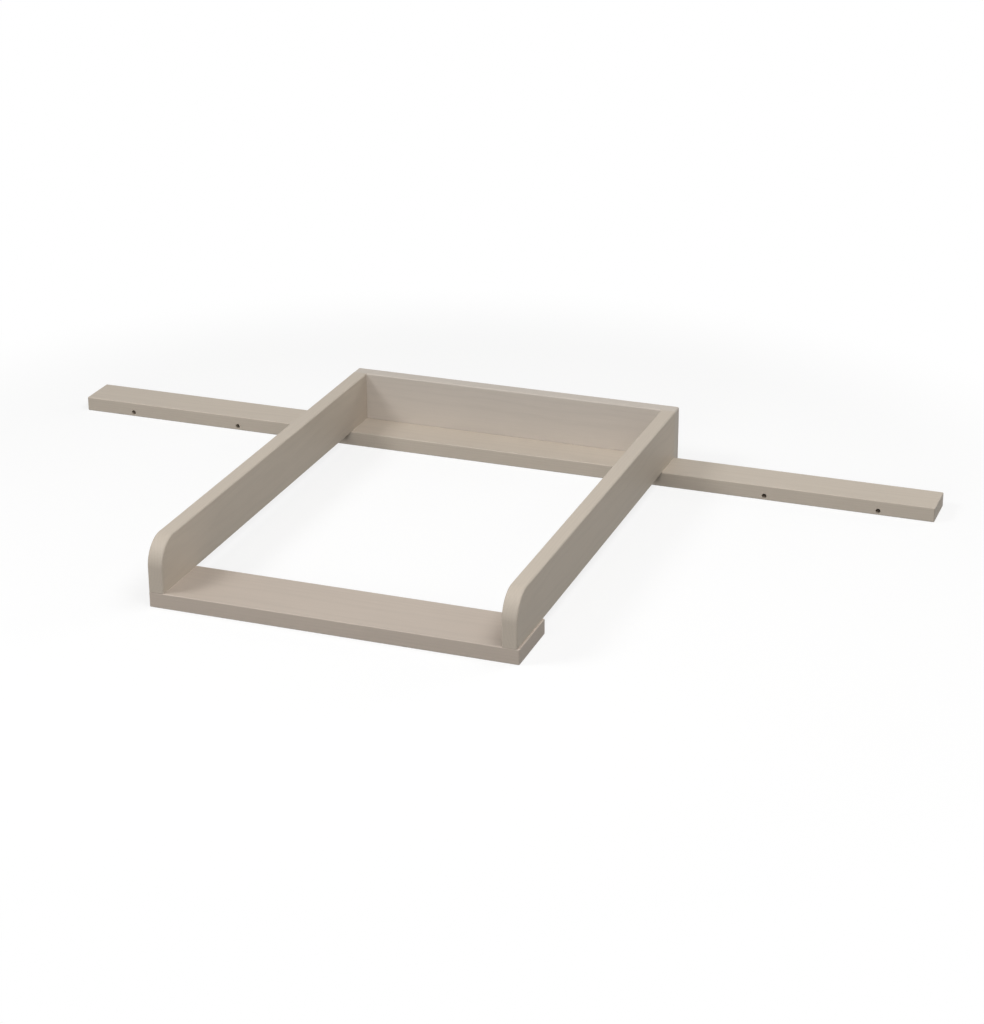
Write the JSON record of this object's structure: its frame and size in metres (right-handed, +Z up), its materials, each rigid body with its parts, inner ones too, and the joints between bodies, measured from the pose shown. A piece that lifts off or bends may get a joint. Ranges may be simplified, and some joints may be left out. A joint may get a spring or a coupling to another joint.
{
  "type": "changing table topper",
  "caption": "Open lacquered wood frame that stands on a dresser and holds a changing mat between its side panels, on a front rail and a long rear bar with fixing holes towards its ends.",
  "frame": {"origin": "middle of the rear bar's length and of the whole depth, on the plane that the topper stands on", "axes": "+X along the rear bar to the right seen from the front, +Y to the wall, +Z up; the front is at -Y"},
  "size_m": [1.43, 0.758, 0.1],
  "materials": {
    "lacquered_wood": "matt taupe lacquer, fine brushed grain",
    "zinc_screws": "zinc plated",
    "bare_wood": "bare beech"
  },
  "bodies": {
    "root": {"left_side_panel": "lacquered_wood", "right_side_panel": "lacquered_wood", "back_panel": "lacquered_wood", "front_rail": "lacquered_wood", "rear_bar": "lacquered_wood", "rail_screw_left_front": "zinc_screws", "rail_screw_left_rear": "zinc_screws", "rail_screw_right_front": "zinc_screws", "rail_screw_right_rear": "zinc_screws", "bar_screw_left_front": "zinc_screws", "bar_screw_left_rear": "zinc_screws", "bar_screw_right_front": "zinc_screws", "bar_screw_right_rear": "zinc_screws", "back_screw_left_upper": "zinc_screws", "back_screw_left_lower": "zinc_screws", "back_screw_right_upper": "zinc_screws", "back_screw_right_lower": "zinc_screws", "back_bar_screw_left": "zinc_screws", "back_bar_screw_middle": "zinc_screws", "back_bar_screw_right": "zinc_screws", "rail_dowel_left": "bare_wood", "rail_dowel_right": "bare_wood", "bar_dowel_left": "bare_wood", "bar_dowel_right": "bare_wood", "back_dowel_left": "bare_wood", "back_dowel_right": "bare_wood", "back_bar_dowel_left": "bare_wood", "back_bar_dowel_right": "bare_wood"}
  },
  "joints": []
}
